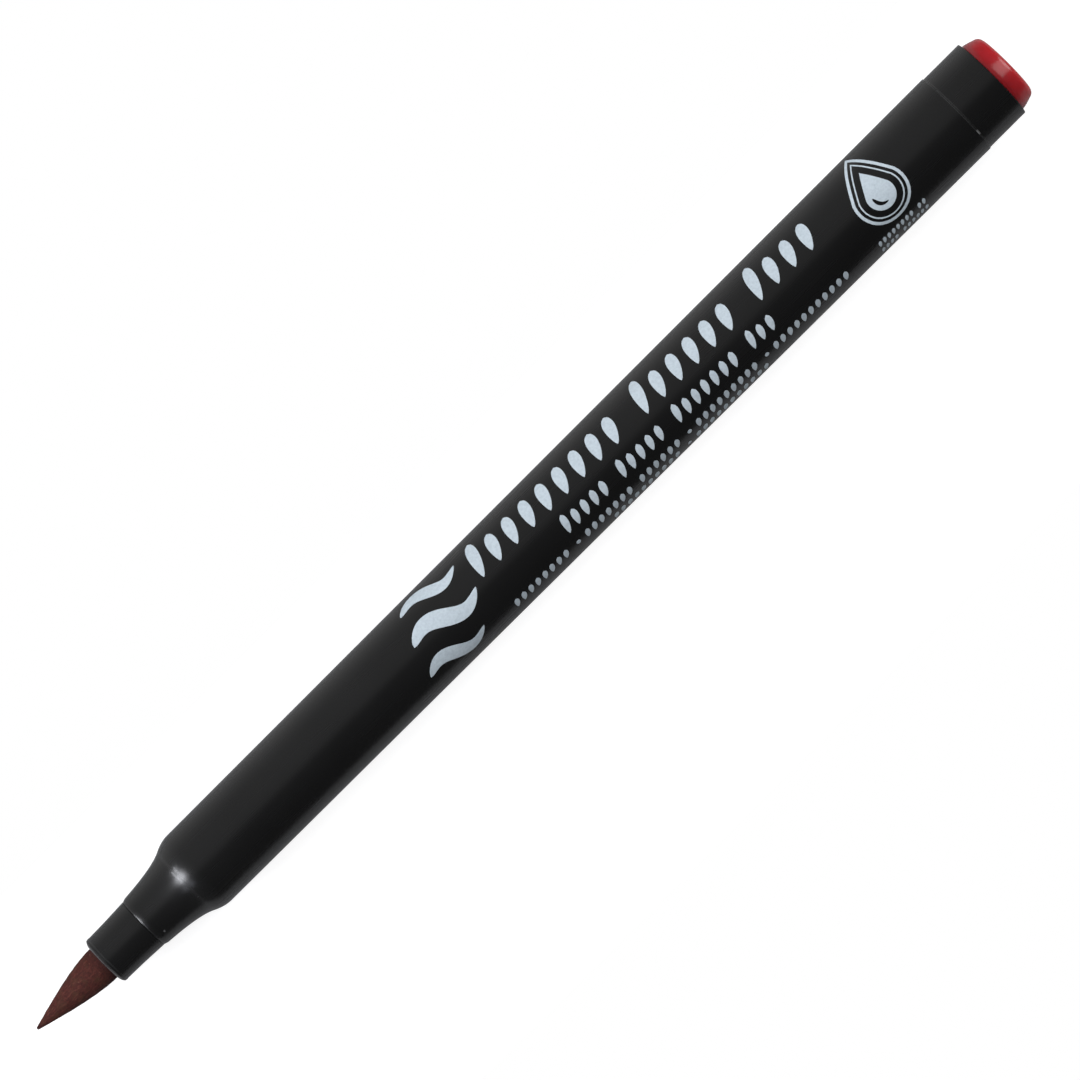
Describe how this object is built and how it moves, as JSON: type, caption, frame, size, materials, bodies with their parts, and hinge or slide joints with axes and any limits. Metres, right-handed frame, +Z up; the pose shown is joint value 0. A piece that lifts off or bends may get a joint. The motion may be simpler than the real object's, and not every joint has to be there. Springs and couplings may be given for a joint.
{
  "type": "brush pen",
  "caption": "Uncapped brush pen: slim black tapered barrel with a stepped neck, a fibre brush nib that bends, an ink reservoir inside and a press-fit coloured end plug.",
  "frame": {"origin": "on the surface the pen lies on, under the middle of its length", "axes": "+X along the pen from the nib to the end plug, +Y across it, +Z up from the surface it lies on"},
  "size_m": [0.1368, 0.0098, 0.0097],
  "materials": {
    "black_plastic": "satin moulded black polypropylene",
    "holder_plastic": "satin moulded black polypropylene",
    "nib_fibre": "bonded fibre, stained by red ink",
    "reservoir_fibre": "polyester fibre soaked with red ink",
    "clear_film": "clear polypropylene film",
    "red_plastic": "semi-gloss moulded red polypropylene",
    "white_print": "white pad-printed ink on the barrel, with no lettering"
  },
  "bodies": {
    "pen_body": {"barrel": "black_plastic", "nib_holder": "holder_plastic", "ink_reservoir": "reservoir_fibre", "reservoir_film": "clear_film"},
    "nib_body": {"brush_nib": "nib_fibre"},
    "plug_body": {"end_plug": "red_plastic"}
  },
  "joints": [
    {"name": "nib_bend", "type": "hinge", "parent": "pen_body", "child": "nib_body", "pos_m": [-0.05903, 0, 0.00485], "axis": [0, 0, 1], "range_deg": [-30, 30], "stiffness_Nm_per_rad": 0.01, "deforming": ["brush_nib"]},
    {"name": "end_plug_pull", "type": "slide", "parent": "pen_body", "child": "plug_body", "axis": [1, 0, 0], "range_m": [0, 0.0065]}
  ]
}
